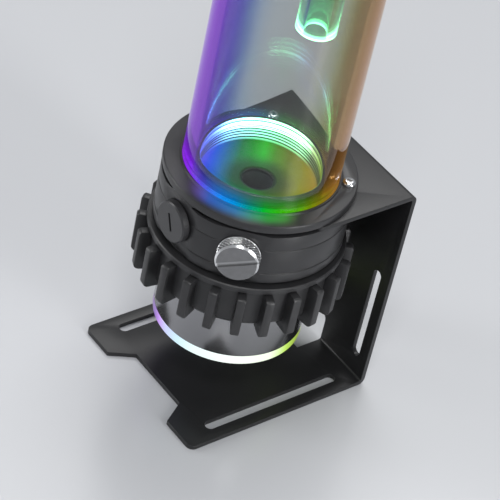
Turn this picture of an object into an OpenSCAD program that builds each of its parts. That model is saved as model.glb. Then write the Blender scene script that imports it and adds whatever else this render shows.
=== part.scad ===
// Pump and tube reservoir unit for a liquid cooling loop, on a folded sheet bracket.
// Millimetres. Z is the common axis of the tube, the pump top, the union ring and the motor can.
// The origin is on that axis, in the plane of the bracket's underside. The bracket's back is at +Y.

/* [Reservoir tube] */
// Outside diameter of the clear tube
tube_od = 60; // [58:0.5:60]
// Wall of the clear tube
tube_wall = 5; // [4.5:0.1:5]
// Length of the clear tube
tube_len = 140; // [130:5:200]
// Outside diameter of the inner drop tube
drop_od = 16; // [15:0.5:16]
// Bore of the inner drop tube
drop_id = 9; // [8:0.5:10]
// Height of the drop tube's open end above the bracket's underside
drop_end_z = 162; // [150:2:180]
// Distance of the two cap ports from the axis
cap_port_r = 12; // [11.5:0.25:12.5]

/* [Bracket] */
// Sheet thickness
plate_t = 2; // [1.8:0.1:2.2]
// Width of the sheet
plate_w = 75; // [75:0.5:80]
// Height over the folded bracket
bracket_h = 99.5; // [98:0.5:104]
// Distance from the axis to the inner face of the back plate
back_y = 45.8; // [45:0.2:49]
// Distance from the axis to the ends of the two front arms
arm_y = 39; // [37:0.5:42]
// Depth of the notch between the front arms
notch_depth = 10; // [8:0.5:12]
// Half width of the notch at its floor
notch_half = 15.2; // [12:0.2:17]
// Sideways run of the notch's slanted flanks
notch_flare = 6; // [4:0.5:7]
// Distance of the long slots from the middle plane
slot_x = 30.5; // [30:0.25:31.5]
// Width of the long slots
slot_w = 4.3; // [3.4:0.1:4.5]
// Width of the cable window cut through the lower fold
window_w = 20; // [14:1:24]
// Height of the cable window up the back plate
window_h = 15; // [10:1:20]

/* [Pump top] */
// Outside diameter of the pump top and of the flange
body_d = 74; // [73.5:0.5:75]
// Height of the pump top under the bracket sheet
body_h = 22; // [21.5:0.5:24]
// Thickness of the flange over the bracket sheet
flange_t = 3.3; // [3:0.1:4]
// Width of the flats round the ports
flat_w = 20.4; // [18:0.2:21]
// Height of the port axes above the pump top's lower face
port_lift = 11.5; // [10.5:0.5:11.5]
// Width of the V grooves round the pump top
seam_w = 0.9; // [0.5:0.1:1.2]
// Diameter of the hole in the reservoir floor
inlet_d = 12; // [10:0.5:12]
// Depth of the floor bowl below the top of its lit rim
bowl_depth = 10.8; // [9.5:0.1:10.9]
// Height of the lit rim inside the tube
rim_light_h = 4.8; // [4:0.1:6]

/* [Port plugs] */
// Diameter of the plug heads
head_d = 16.5; // [16.2:0.1:17.5]
// Length of the knurled plug's head
knurl_len = 6; // [4:0.5:8]
// Number of grooves in the knurl
knurl_n = 40; // [30:2:48]
// Length of the low plugs' heads
low_head_len = 3.2; // [2.8:0.2:4]
// Length of the plug threads
plug_thread_len = 7.5; // [6:0.5:8]

/* [Union ring] */
// Outside diameter over the fins
fin_d = 84.6; // [82:0.2:86]
// Number of fins
fin_n = 24; // [16:1:30]
// Thickness of a fin
fin_t = 3.4; // [2.4:0.2:4]
// Radius of a fin's lower outer corner
fin_nose = 2.2; // [0.6:0.2:3]
// Outside diameter of the ring's band
band_d = 74.6; // [74:0.2:76]
// Outside diameter of the ring's top rim
rim_d = 77.4; // [77:0.2:79]
// Height of the ring
union_h = 21.8; // [21.4:0.1:22.2]

/* [Motor] */
// Outside diameter of the motor can
can_d = 59.6; // [59:0.2:60]
// Height of the light band at the can's foot
glow_h = 4.1; // [3:0.1:5]
// Distance from the can's foot to the bracket's underside
can_lift = 26.6; // [24:0.2:29]
// Number of blades on the impeller
blade_n = 7; // [4:1:8]
// Outside diameter of the impeller
impeller_d = 39; // [36:0.5:41]

/* [Hidden] */
// Standard pipe thread G 1/4: wall radius of the hole, and the running clearance of a thread
port_r = 6.58;
run_fit = 0.05;
// General clearance, push clearance and seating gap
gap = 0.4;
slip = 0.1;
seat = 0.02;
eps = 0.01;
$fn = 96;

tube_r = tube_od / 2;
tube_ri = tube_r - tube_wall;
body_r = body_d / 2;
can_r = can_d / 2;

// Levels, from the bracket's underside up
z_sheet = bracket_h - plate_t;
z_flange = bracket_h;
z_deck = z_flange + flange_t;
z_tube_top = z_deck + tube_len;
z_body = z_sheet - body_h;
z_port = z_body + port_lift;
z_seam_hi = z_body + 0.695 * body_h;
z_seam_lo = z_body + 0.19 * body_h;

// Tube seat in the flange, and the light guide below the tube's end
flange_over = 0.2;
flange_edge = 0.3;
lip_t = 0.8;
lip_h = 0.9;
guide_w = tube_wall - slip;
board_t = 0.8;
seat_floor = 0.5;
floor_t = 1.6;
floor_ring_r = 0.6;
rim_ro = tube_ri - 0.3;
bowl_wall = 0.8;
bowl_ri = tube_ri - 1.8;
bowl_ro = bowl_ri + bowl_wall;
bowl_hole = bowl_ro + run_fit;
z_rim = z_deck + rim_light_h;
z_floor = z_rim - bowl_depth;
z_bowl = z_floor - floor_t;
bowl_fillet = 2;

// Fork of the top sheet, and the core that passes through it
core_r = 30;
fork_r = core_r + 0.2;
bend_ri = 1;
bend_ro = bend_ri + plate_t;
back_out = back_y + plate_t;
screw_pcr = body_r - 3.35;
screw_r = 1.5;
screw_head_r = 2.6;
screw_head_h = 1.7;
screw_len = 11;
screw_az = [45, 135];

// Flats and ports: direction of each port round the axis
flat_depth = body_r - sqrt(body_r * body_r - flat_w * flat_w / 4);
flat_r = body_r - flat_depth;
az_knurl = -45;
az_low = -90;
az_out = 180;
port_az = [az_knurl, az_low, az_out];
port_depth = 12;
gallery_r = 4.2;
coin_l = 7.3;
coin_w = 1.2;
coin_deep = 0.9;
knurl_turn = -68;
knurl_slot_w = 2;
knurl_slot_deep = 0.8;
low_turn = 23;
knurl_w = 0.64;
knurl_off = 0.15;
knurl_foot = 1;
head_edge = 0.6;

// Threaded spigot of the pump top, volute and pump flange
spigot_r = 34.7;
spigot_h = 15.5;
z_spigot = z_body - spigot_h;
volute_r = 22.5;
volute_h = 10;
z_volute = z_spigot + volute_h;
pump_flange_t = 4.2;
pump_flange_r = 33.9;
z_pump_flange = z_spigot - pump_flange_t;
slip_ring_t = 0.6;
face_ring_r = 0.9;
face_ring_R = 30.3;
flange_seal_R = bowl_hole + 2.3;

// Union ring
union_ri = spigot_r + run_fit;
z_lip = z_pump_flange - slip_ring_t;
lip_th = 3.5;
z_union = z_lip - lip_th;
z_union_top = z_union + union_h;
rim_h = 2.5;
band_r = band_d / 2;
band_cone = 3.9;
fin_top = z_union_top - rim_h - 0.8;
fin_in = band_r - band_cone + 0.2;

// Motor
can_wall = 1.8;
can_ri = can_r - can_wall;
z_can = can_lift + glow_h;
glow_w = 3.3;
base_r = can_r - glow_w - slip;
board_lift = 5.5;
circuit_t = 1.6;
board_z = z_can + board_lift;
board_r = can_ri - 0.6;
// The cup hangs from the spigot down to just above the circuit board
cup_clear = 3;
cup_depth = z_spigot - board_z - circuit_t - cup_clear;
cup_ro = 20.2;
cup_c = z_spigot - cup_depth + cup_ro;
cup_t = 1.2;
cup_flange_r = 27;
cup_flange_t = 1.5;
cup_ri = cup_ro - cup_t;
rotor_r = cup_ri - 0.8;
z_rotor = z_spigot + 0.5;
hub_r = 6;
rotor_depth = z_rotor - cup_c + cup_ri;
ball_r = rotor_depth * 6 / 37;
z_ball = z_rotor - rotor_depth * 13 / 37;
post_r = 2;
disc_t = 1.5;
blade_h = 3.8;
blade_t = 1.2;
eye_r = 7;
// Tall parts, chip and regulator on the circuit board
part_r = 2.6;
part_h = 4.2;
part_pitch = 9;
part_x = 14;
chip_l = 10;
chip_w = 8;
chip_h = 1.4;
chip_y = 4;
reg_l = 6;
reg_w = 5;
reg_h = 1.8;
reg_x = 8;
// Stator between the tall parts and the pump flange; its poles and coils are shares of it
part_clear = 0.8;
stator_gap = 1.2;
coil_share = 6 / 65;
z_stator_top = z_pump_flange - stator_gap;
stator_h = (z_stator_top - board_z - circuit_t - part_h - part_clear) / (1 - coil_share);
z_stator = z_stator_top - stator_h;
coil_inset = stator_h * coil_share;
pole_inset = stator_h * 3 / 13;
pole_w = 6;
coil_w = 9.6;
coil_d = 4.6;
coil_n = 6;
// Cover: screw posts and the hole for the lead's gland
post_pcr = base_r - 5.4;
cover_screw_r = 1.2;
cover_head_r = 2.4;
cover_head_h = 1.4;
head_sink = 0.4;
post_wall = 2.2;
cover_lip = 1.2;
lead_y = 10;
lead_r = 4;
lead_bore = 2.4;

// Top cap
cap_r = tube_r + 1.5;
cap_t = 8;
cap_spigot = 8;
z_cap = z_tube_top + cap_t;
cap_port_depth = 9;
socket_depth = 5;

// Material colours
c_coat = [0.06, 0.06, 0.065];
c_poly = [0.05, 0.05, 0.055];
c_seal = [0.03, 0.03, 0.03];
c_clear = [0.85, 0.92, 0.95, 0.35];
c_steel = [0.75, 0.76, 0.78];
c_glow = [0.95, 0.97, 1.0];
c_board = [0.03, 0.14, 0.09];
c_copper = [0.72, 0.42, 0.2];
c_magnet = [0.2, 0.2, 0.21];
c_ball = [0.9, 0.89, 0.85];

// ---- shared shapes ----

module tube_z(ro, ri, z0, h) {
    translate([0, 0, z0]) difference() {
        cylinder(r = ro, h = h);
        translate([0, 0, -1]) cylinder(r = ri, h = h + 2);
    }
}

module torus(R, r, z) {
    translate([0, 0, z]) rotate_extrude() translate([R, 0]) circle(r = r, $fn = 32);
}

// Places a shape drawn along +Z so that it points out of the flat in direction az
module at_port(az, r0 = flat_r) {
    rotate([0, 0, az]) translate([r0, 0, z_port]) rotate([0, 90, 0]) children();
}

// A slot between two points along Y or Z, cut by a prism with round ends
module slot_xy(x, y0, y1, w, z0, h) {
    translate([x, 0, z0]) {
        translate([-w / 2, y0 + w / 2, 0]) cube([w, y1 - y0 - w, h]);
        for (y = [y0 + w / 2, y1 - w / 2]) translate([0, y, 0]) cylinder(d = w, h = h, $fn = 32);
    }
}

module vee_groove(r, z, w) {
    translate([0, 0, z]) rotate_extrude()
        polygon([[r - w * 0.6, 0], [r + 1, w * 1.2], [r + 1, -w * 1.2]]);
}

// Chamfered disc from z0, height h
module disc(r, z0, h, c) {
    translate([0, 0, z0]) rotate_extrude()
        polygon([[0, 0], [r, 0], [r, h - c], [r - c, h], [0, h]]);
}

// ---- bracket: one sheet folded twice ----

// Side view of the folded sheet as [y, z]
module fold_profile() {
    y_bend = back_out - bend_ro;
    translate([-arm_y, 0]) square([arm_y + y_bend, plate_t]);
    translate([0, z_sheet]) square([y_bend, plate_t]);
    translate([back_y, bend_ro]) square([plate_t, bracket_h - 2 * bend_ro]);
    for (s = [0, 1]) translate([y_bend, s ? bracket_h - bend_ro : bend_ro])
        intersection() {
            difference() {
                circle(r = bend_ro, $fn = 48);
                circle(r = bend_ri, $fn = 48);
            }
            translate([0, s ? 0 : -bend_ro]) square([bend_ro, bend_ro]);
        }
}

module bracket() color(c_coat) {
    slot_y0 = 12 - arm_y;
    slot_y1 = back_y - 8.5;
    difference() {
        rotate([90, 0, 90]) translate([0, 0, -plate_w / 2])
            linear_extrude(plate_w) fold_profile();
        // notch between the front arms
        translate([0, 0, -1]) linear_extrude(plate_t + 2)
            polygon([[-notch_half - notch_flare, -arm_y - 0.01], [-notch_half, notch_depth - arm_y],
                [notch_half, notch_depth - arm_y], [notch_half + notch_flare, -arm_y - 0.01]]);
        // rounded outer corners of the arms
        for (s = [-1, 1]) translate([s * (plate_w / 2 - 3), 3 - arm_y, -1]) difference() {
            translate([s > 0 ? 0 : -4, -4, 0]) cube([4, 4, plate_t + 2]);
            translate([0, 0, -1]) cylinder(r = 3, h = plate_t + 4, $fn = 48);
        }
        // rounded inner ends of the fork
        for (s = [-1, 1]) translate([s * (plate_w / 2 - 3), 3, z_sheet - 1]) difference() {
            translate([s > 0 ? 0 : -4, -4, 0]) cube([4, 4, plate_t + 2]);
            translate([0, 0, -1]) cylinder(r = 3, h = plate_t + 4, $fn = 48);
        }
        // long slots in the foot and in the back
        for (s = [-1, 1]) {
            slot_xy(s * slot_x, slot_y0, slot_y1, slot_w, -1, plate_t + 2);
            rotate([90, 0, 0]) slot_xy(s * slot_x, 11, 56, slot_w, -back_out - 1, plate_t + 2);
        }
        // cable window through the lower fold
        translate([-window_w / 2, back_y - 12, -1])
            cube([window_w, plate_t + 14, window_h - 2]);
        translate([0, back_out + 1, window_h - 3]) rotate([90, 0, 0])
            linear_extrude(plate_t + 4) {
                translate([-window_w / 2, -2]) square([window_w, 2.01]);
                translate([-window_w / 2 + 3, -2]) square([window_w - 6, 5]);
                for (s = [-1, 1]) translate([s * (window_w / 2 - 3), 0]) circle(r = 3, $fn = 32);
            }
        // fork round the core, and holes for the flange screws
        translate([0, 0, z_sheet - 1]) cylinder(r = fork_r, h = plate_t + 2);
        for (a = screw_az) rotate([0, 0, a]) translate([screw_pcr, 0, z_sheet - 1])
            cylinder(r = screw_r + 0.2, h = plate_t + 2, $fn = 32);
    }
}

// ---- pump top ----

module pump_top() color(c_poly) difference() {
    union() {
        difference() {
            translate([0, 0, z_body]) cylinder(r = body_r, h = body_h);
            for (z = [z_seam_lo, z_seam_hi]) vee_groove(body_r, z, seam_w);
            // flats round the ports
            for (a = port_az) rotate([0, 0, a]) translate([flat_r, -flat_w, z_body - 1])
                cube([10, 2 * flat_w, body_h + 2]);
        }
        // core through the fork, front key and threaded spigot
        translate([0, 0, z_sheet - 1]) cylinder(r = core_r, h = plate_t + 1);
        rotate([0, 0, az_low]) translate([core_r - 3, -6.2, z_sheet - 1])
            cube([flat_r - core_r + 3, 12.4, plate_t + 1]);
        translate([0, 0, z_spigot]) cylinder(r = spigot_r, h = spigot_h + 1);
    }
    // undercut between the spigot's thread and the body
    translate([0, 0, z_body - 1.4]) difference() {
        cylinder(r = spigot_r + 1, h = 1.4);
        translate([0, 0, -1]) cylinder(r = spigot_r - 0.8, h = 4);
    }
    // inlet passage, seat of the floor bowl, volute
    translate([0, 0, z_volute - 1]) cylinder(d = inlet_d, h = 60);
    translate([0, 0, z_bowl]) cylinder(r = bowl_hole, h = 60);
    translate([0, 0, z_spigot - 1]) cylinder(r = volute_r, h = volute_h + 1);
    // ports with their galleries: two to the volute, one to the inlet passage
    for (a = port_az) at_port(a) {
        translate([0, 0, -port_depth]) cylinder(r = port_r, h = port_depth + 5);
        translate([0, 0, a == az_knurl ? -flat_r + 2 : -port_depth - 4.5])
            cylinder(r = gallery_r, h = a == az_knurl ? flat_r - port_depth : 5, $fn = 48);
    }
    for (a = [az_low, az_out]) rotate([0, 0, a])
        translate([flat_r - port_depth - 4.3, 0, z_volute - 1])
            cylinder(r = 3.6, h = z_port - z_volute + 1, $fn = 48);
    // seal grooves: face of the spigot, top of the core
    tube_z(face_ring_R + 1.1, face_ring_R - 1.1, z_spigot - 1, 2.4);
    tube_z(flange_seal_R + 1.1, flange_seal_R - 1.1, z_flange - 1.4, 2);
    // screw holes
    for (a = screw_az) rotate([0, 0, a]) translate([screw_pcr, 0, z_flange - screw_len])
        cylinder(r = screw_r + run_fit, h = screw_len + 1, $fn = 32);
}

// ---- flange with the tube seat ----

module flange() color(c_poly) difference() {
    union() {
        disc(body_r + flange_over, z_flange, flange_t, flange_edge);
        translate([0, 0, z_flange]) cylinder(r = tube_r + slip + lip_t, h = flange_t + lip_h);
    }
    // seat for the light board, the guide and the tube
    tube_z(tube_r + slip, tube_ri, z_flange + seat_floor, flange_t + 5);
    translate([0, 0, z_deck]) cylinder(r = tube_ri + 1, h = 5);
    translate([0, 0, z_flange - 1]) cylinder(r = bowl_hole, h = 60);
    for (a = screw_az) rotate([0, 0, a]) translate([screw_pcr, 0, z_flange - 1])
        cylinder(r = screw_r + 0.2, h = flange_t + 5, $fn = 32);
}

module flange_seal() color(c_seal) torus(flange_seal_R, 0.69, z_flange - 0.7);

module flange_screws() color(c_steel) for (a = screw_az) rotate([0, 0, a])
    translate([screw_pcr, 0, 0]) {
        translate([0, 0, z_deck - screw_len + seat])
            cylinder(r = screw_r, h = screw_len + 0.5, $fn = 32);
        difference() {
            disc(screw_head_r, z_deck, screw_head_h, 0.6);
            translate([0, 0, z_deck + 0.7]) cylinder(d = 2.3, h = 5, $fn = 6);
        }
    }

// ---- light parts under the tube's end, floor of the reservoir ----

module led_board() color(c_board)
    tube_z(tube_r, tube_ri + slip, z_flange + seat_floor, board_t);

module led_chips() color([0.95, 0.95, 0.85]) for (i = [0 : 11]) rotate([0, 0, 30 * i + 15])
    translate([tube_r - tube_wall / 2 - 0.7, -0.8, z_flange + seat_floor + board_t])
        cube([1.4, 1.6, 0.6]);

module light_guide() color(c_glow) difference() {
    z0 = z_flange + seat_floor + board_t;
    tube_z(tube_r, tube_r - guide_w, z0, z_deck - z0);
    tube_z(tube_r - tube_wall / 2 + 1.1, tube_r - tube_wall / 2 - 1.1, z0 - 1, 2);
}

// Lit ring that stands on the flange inside the tube, stepped for the seal
module rim_light() color(c_glow) difference() {
    tube_z(rim_ro, bowl_ri, z_deck, rim_light_h);
    tube_z(rim_ro + 5, bowl_ri + 0.5, z_deck - 1, 1 + 2 * floor_ring_r + slip);
}

// Bowl that lines the well in the flange and the core, with the inlet in its floor
module floor_bowl() color(c_glow) difference() {
    union() {
        translate([0, 0, z_bowl]) cylinder(r = bowl_ro, h = floor_t);
        tube_z(bowl_ro, bowl_ri, z_bowl + floor_t - eps, z_deck - z_floor + eps);
        // fillet between the wall and the floor
        rotate_extrude() difference() {
            translate([bowl_ri - bowl_fillet, z_floor - eps])
                square([bowl_fillet + eps, bowl_fillet + eps]);
            translate([bowl_ri - bowl_fillet, z_floor + bowl_fillet])
                circle(r = bowl_fillet, $fn = 48);
        }
    }
    // shallow rings in the wall
    for (dz = [0.9, 2.5]) translate([0, 0, z_deck - dz]) rotate_extrude()
        polygon([[bowl_ri - 0.1, -0.35], [bowl_ri + 0.25, 0], [bowl_ri - 0.1, 0.35]]);
    translate([0, 0, z_bowl - 1]) cylinder(d = inlet_d, h = 10);
    // step round the inlet
    translate([0, 0, z_floor - 0.5]) cylinder(d = inlet_d + 1.6, h = 5);
}

module floor_seal() color(c_seal)
    torus(tube_ri - floor_ring_r - seat, floor_ring_r, z_deck + floor_ring_r + seat);

module tube() color(c_clear) tube_z(tube_r, tube_ri, z_deck, tube_len);

// ---- top cap, drop tube, fill plug ----

module top_cap() color(c_poly) difference() {
    union() {
        disc(cap_r, z_tube_top, cap_t, 0.8);
        translate([0, 0, z_tube_top - cap_spigot]) cylinder(r = tube_ri - gap, h = cap_spigot + 1);
    }
    vee_groove(cap_r, z_tube_top + 2, seam_w);
    tube_z(tube_ri + 5, tube_ri - 1.7, z_tube_top - cap_spigot + 3, 1.7);
    // inlet port above, drop tube socket below
    translate([0, cap_port_r, z_cap - cap_port_depth]) cylinder(r = port_r, h = 20);
    translate([0, cap_port_r, z_tube_top - cap_spigot - 1]) {
        cylinder(d = drop_id, h = 20, $fn = 48);
        cylinder(d = drop_od + 2 * slip, h = socket_depth + 1, $fn = 64);
    }
    // fill port right through
    translate([0, -cap_port_r, z_tube_top - cap_spigot - 1]) cylinder(r = port_r, h = 40);
    // seal groove in the socket
    translate([0, cap_port_r, 0])
        tube_z(drop_od / 2 + 1.2, drop_od / 2 - 2, z_tube_top - cap_spigot + 2, 1.3);
}

module cap_seal() color(c_seal) torus(tube_ri - 0.83, 0.81, z_tube_top - cap_spigot + 3.85);

module drop_tube() color(c_clear) translate([0, cap_port_r, 0])
    tube_z(drop_od / 2, drop_id / 2, drop_end_z,
        z_tube_top - cap_spigot + socket_depth - seat - drop_end_z);

module drop_tube_seal() color(c_seal) translate([0, cap_port_r, 0])
    torus(drop_od / 2 + 0.58, 0.56, z_tube_top - cap_spigot + 2.65);

// Plug along +Z with the underside of its head just above z = 0
module plug_shape(head_len) {
    difference() {
        union() {
            translate([0, 0, -plug_thread_len])
                cylinder(r = port_r - run_fit, h = plug_thread_len + 1);
            disc(head_d / 2, 0.3, head_len, 0.5);
        }
        tube_z(port_r + 1.42, port_r - 0.04, -0.02, 1.46);
        // hex recess in the thread's end
        translate([0, 0, -plug_thread_len - 1]) cylinder(d = 6, h = 4, $fn = 6);
    }
}

module plug_seal_shape() torus(port_r + 0.69, 0.68, 0.7);

module low_plug_shape(turn = 0) difference() {
    plug_shape(low_head_len);
    rotate([0, 0, turn]) translate([-coin_l / 2, -coin_w / 2, low_head_len - coin_deep])
        cube([coin_l, coin_w, 2 * coin_deep]);
}

module fill_plug() color(c_poly) translate([0, -cap_port_r, z_cap]) low_plug_shape();
module fill_plug_seal() color(c_seal) translate([0, -cap_port_r, z_cap]) plug_seal_shape();

module low_plug() color(c_poly) at_port(az_low) low_plug_shape(low_turn);
module low_plug_seal() color(c_seal) at_port(az_low) plug_seal_shape();

module knurled_plug() color(c_steel) at_port(az_knurl) difference() {
    plug_shape(knurl_len);
    // straight knurl on the middle of the head
    for (i = [0 : knurl_n - 1]) rotate([0, 0, 360 / knurl_n * i])
        translate([head_d / 2 + knurl_off, 0, knurl_foot]) rotate([0, 0, 45])
            translate([-knurl_w / 2, -knurl_w / 2, 0])
                cube([knurl_w, knurl_w, knurl_len - knurl_foot - head_edge]);
    // coin slot across the face
    rotate([0, 0, knurl_turn]) translate([-head_d, -knurl_slot_w / 2, knurl_len - knurl_slot_deep])
        cube([2 * head_d, knurl_slot_w, 2 * knurl_slot_deep]);
}
module knurled_plug_seal() color(c_seal) at_port(az_knurl) plug_seal_shape();

// ---- union ring with its fins ----

// Fin outline as [radius, height]
module fin_profile() {
    ro = fin_d / 2;
    nose = [for (a = [-90 : 18 : 0]) [ro + fin_nose * (cos(a) - 1), z_union + fin_nose * (sin(a) + 1)]];
    polygon(concat([[fin_in, z_union]], nose, [[ro, fin_top - 0.8], [ro - 0.8, fin_top],
        [band_r - 1, fin_top], [band_r - 1, z_union + band_cone]]));
}

module union_ring() color(c_poly) {
    rotate_extrude() polygon([[union_ri, z_union_top - 0.5], [union_ri + 0.5, z_union_top],
        [rim_d / 2 - 0.4, z_union_top], [rim_d / 2, z_union_top - 0.4],
        [rim_d / 2, z_union_top - rim_h], [band_r, z_union_top - rim_h - 0.4],
        [band_r, z_union + band_cone], [band_r - band_cone, z_union],
        [can_r + gap, z_union], [can_r + gap, z_lip], [union_ri, z_lip]]);
    for (i = [0 : fin_n - 1]) rotate([0, 0, 7 + 360 / fin_n * i])
        translate([0, fin_t / 2, 0]) rotate([90, 0, 0]) linear_extrude(fin_t) fin_profile();
}

module slip_ring() color([0.8, 0.8, 0.76])
    tube_z(pump_flange_r, can_r + gap, z_lip, slip_ring_t);

module volute_seal() color(c_seal) torus(face_ring_R, 0.68, z_spigot + 0.7);

// ---- motor ----

module motor_can() color([0.13, 0.13, 0.14]) difference() {
    union() {
        translate([0, 0, z_can]) cylinder(r = can_r, h = z_spigot - z_can);
        translate([0, 0, z_pump_flange]) cylinder(r = pump_flange_r, h = pump_flange_t);
    }
    translate([0, 0, z_can - 1]) cylinder(r = can_ri, h = z_pump_flange - 1 - z_can + 1);
    // recess and mouth for the isolation cup
    translate([0, 0, z_spigot - cup_flange_t]) cylinder(r = cup_flange_r + slip, h = 10);
    translate([0, 0, z_pump_flange - 3]) cylinder(r = cup_ro + 1.5, h = 10);
}

module isolation_cup() color([0.7, 0.71, 0.73]) {
    difference() {
        union() {
            translate([0, 0, z_spigot - cup_flange_t]) cylinder(r = cup_flange_r, h = cup_flange_t);
            translate([0, 0, cup_c]) sphere(r = cup_ro);
        }
        translate([0, 0, cup_c]) sphere(r = cup_ri);
        translate([0, 0, z_spigot]) cylinder(r = 40, h = 40);
    }
    translate([0, 0, cup_c - cup_ri - 0.3]) cylinder(r = 4, h = 1.5, $fn = 48);
    translate([0, 0, cup_c - cup_ri - 0.3])
        cylinder(r = post_r, h = z_ball - ball_r + 0.8 - cup_c + cup_ri, $fn = 48);
}

module bearing_ball() color(c_ball) difference() {
    translate([0, 0, z_ball]) sphere(r = ball_r, $fn = 48);
    translate([0, 0, z_ball - 2 * ball_r + 0.5]) cylinder(r = 3 * ball_r, h = ball_r);
}

module rotor_magnet() color(c_magnet) difference() {
    intersection() {
        translate([0, 0, cup_c]) sphere(r = rotor_r);
        translate([0, 0, z_rotor - 30]) cylinder(r = 30, h = 30);
    }
    translate([0, 0, z_rotor - 40]) cylinder(r = hub_r, h = 50, $fn = 64);
    translate([0, 0, cup_c - cup_ri - 1]) cylinder(r = hub_r + 1, h = 6, $fn = 64);
}

module rotor_bush() color([0.25, 0.25, 0.26]) difference() {
    translate([0, 0, z_ball + 0.6]) cylinder(r = hub_r - run_fit, h = z_rotor - z_ball - 0.6, $fn = 64);
    translate([0, 0, z_ball]) sphere(r = ball_r + run_fit, $fn = 48);
}

module impeller() color([0.9, 0.9, 0.88]) {
    z_vane = z_rotor + disc_t;
    r = impeller_d / 2;
    disc(r, z_rotor, disc_t, 0.3);
    translate([0, 0, z_vane - 0.1]) cylinder(r1 = 4, r2 = 1.5, h = 4, $fn = 48);
    // swept blades cut from a ring round an off-centre point
    intersection() {
        tube_z(r - 0.4, eye_r + 0.5, z_vane - 0.1, blade_h + 0.2);
        for (i = [0 : blade_n - 1]) rotate([0, 0, 360 / blade_n * i]) translate([10, 0, 0])
            intersection() {
                tube_z(12, 12 - blade_t, z_vane - 0.1, blade_h + 0.2);
                translate([-30, 0, z_vane - 1]) cube([60, 30, blade_h + 2]);
            }
    }
    tube_z(r - 0.5, eye_r, z_vane + blade_h, 1);
    tube_z(eye_r + 1.2, eye_r, z_vane + blade_h, 2.2);
}

module stator_core() color([0.35, 0.35, 0.37]) difference() {
    union() {
        tube_z(can_ri - slip, can_ri - 3, z_stator, stator_h);
        for (i = [0 : coil_n - 1]) rotate([0, 0, 360 / coil_n * i])
            translate([0, -pole_w / 2, z_stator + pole_inset])
                cube([can_ri - 1, pole_w, stator_h - 2 * pole_inset]);
    }
    translate([0, 0, cup_c]) sphere(r = cup_ro + 0.5);
    translate([0, 0, z_stator - 5]) cylinder(r = 2 * pole_w, h = stator_h + 30);
}

module stator_coils() color(c_copper) for (i = [0 : coil_n - 1]) rotate([0, 0, 360 / coil_n * i])
    difference() {
        translate([can_ri - 3 - 0.8 - coil_d, -coil_w / 2, z_stator + coil_inset])
            cube([coil_d, coil_w, stator_h - 2 * coil_inset]);
        translate([10, -pole_w / 2 - run_fit, z_stator + pole_inset - run_fit])
            cube([30, pole_w + 2 * run_fit, stator_h - 2 * pole_inset + 2 * run_fit]);
        translate([0, 0, cup_c]) sphere(r = cup_ro + 0.5);
    }

module circuit_board() color(c_board) difference() {
    translate([0, 0, board_z]) cylinder(r = board_r, h = circuit_t);
    for (i = [0 : 2]) rotate([0, 0, 120 * i + 30]) translate([post_pcr, 0, board_z - 1])
        cylinder(r = cover_screw_r, h = 5, $fn = 24);
}

module board_parts() color([0.1, 0.1, 0.1]) translate([0, 0, board_z + circuit_t]) {
    for (i = [0 : 2]) translate([part_pitch * i - part_x, -part_x, 0])
        cylinder(r = part_r, h = part_h, $fn = 32);
    translate([-chip_l / 2, chip_y, 0]) cube([chip_l, chip_w, chip_h]);
    translate([reg_x, -reg_l, 0]) cube([reg_l, reg_w, reg_h]);
}

module glow_band() color(c_glow) tube_z(can_r, can_r - glow_w, can_lift, glow_h);

module can_cover() color([0.1, 0.1, 0.105]) difference() {
    union() {
        translate([0, 0, can_lift]) cylinder(r = base_r, h = glow_h);
        translate([0, 0, z_can]) cylinder(r = can_ri - slip, h = cover_lip);
        for (i = [0 : 2]) rotate([0, 0, 120 * i + 30]) translate([post_pcr, 0, can_lift + 1])
            cylinder(r = cover_screw_r + post_wall, h = board_z - can_lift - 1, $fn = 48);
    }
    for (i = [0 : 2]) rotate([0, 0, 120 * i + 30]) translate([post_pcr, 0, can_lift - 1]) {
        cylinder(r = cover_screw_r + run_fit, h = 30, $fn = 24);
        cylinder(r = cover_head_r + 2 * slip, h = 1 + head_sink + cover_head_h, $fn = 32);
    }
    translate([0, lead_y, can_lift - 1]) cylinder(r = lead_r, h = 20, $fn = 48);
}

module cover_screws() color(c_steel) for (i = [0 : 2]) rotate([0, 0, 120 * i + 30])
    translate([post_pcr, 0, 0]) {
        translate([0, 0, can_lift + 1])
            cylinder(r = cover_screw_r, h = board_z + circuit_t - can_lift - 1.2, $fn = 24);
        difference() {
            translate([0, 0, can_lift + head_sink])
                cylinder(r = cover_head_r, h = cover_head_h, $fn = 32);
            translate([0, 0, can_lift]) cylinder(r = 1.1, h = head_sink + cover_head_h / 2, $fn = 6);
        }
    }

module cable_gland() color(c_seal) translate([0, lead_y, 0]) difference() {
    union() {
        translate([0, 0, can_lift - 2]) cylinder(r1 = lead_r + 0.4, r2 = lead_r + 1.6, h = 2, $fn = 48);
        translate([0, 0, can_lift - 0.5])
            cylinder(r = lead_r - run_fit, h = glow_h + cover_lip + 1.2, $fn = 48);
    }
    translate([0, 0, can_lift - 5]) cylinder(r = lead_bore, h = 30, $fn = 32);
}

// ---- build switch ----

bracket();
pump_top();
flange();
flange_seal();
flange_screws();
led_board();
led_chips();
light_guide();
floor_bowl();
rim_light();
floor_seal();
tube();
top_cap();
cap_seal();
drop_tube();
drop_tube_seal();
fill_plug();
fill_plug_seal();
knurled_plug();
knurled_plug_seal();
low_plug();
low_plug_seal();
union_ring();
slip_ring();
volute_seal();
motor_can();
isolation_cup();
bearing_ball();
impeller();
rotor_magnet();
rotor_bush();
stator_core();
stator_coils();
circuit_board();
board_parts();
glow_band();
can_cover();
cover_screws();
cable_gland();
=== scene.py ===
import math

import bmesh
import bpy
from mathutils import Matrix, Vector


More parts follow.
